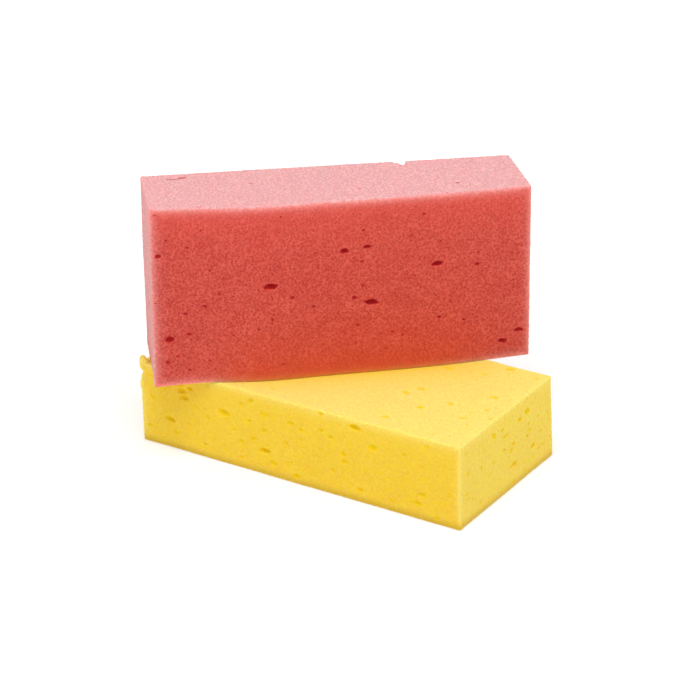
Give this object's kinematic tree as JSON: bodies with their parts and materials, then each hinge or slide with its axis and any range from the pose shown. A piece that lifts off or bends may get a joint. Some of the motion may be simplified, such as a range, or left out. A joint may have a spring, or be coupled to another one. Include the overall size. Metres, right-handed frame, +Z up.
{
  "type": "pair of foam wash sponges",
  "caption": "Cellular foam wash sponges: a yellow block lying flat with a red block standing on edge across it, free to lift off.",
  "frame": {"origin": "centre of the yellow sponge's underside, the flat face that the pair rests on", "axes": "+Z up, +X along the yellow sponge's long side, its long side seen from the front at -Y"},
  "size_m": [0.2097, 0.1726, 0.1418],
  "materials": {
    "yellow_foam": "open-cell polyurethane foam, matt, cut surface with pockets",
    "red_foam": "open-cell polyurethane foam, matt, cut surface with pockets"
  },
  "bodies": {
    "yellow": {"yellow_sponge": "yellow_foam"},
    "red": {"red_sponge": "red_foam"}
  },
  "joints": [
    {"name": "red_lift", "type": "slide", "parent": "yellow", "child": "red", "axis": [0, 0, 1], "range_m": [0, 0.12]}
  ]
}
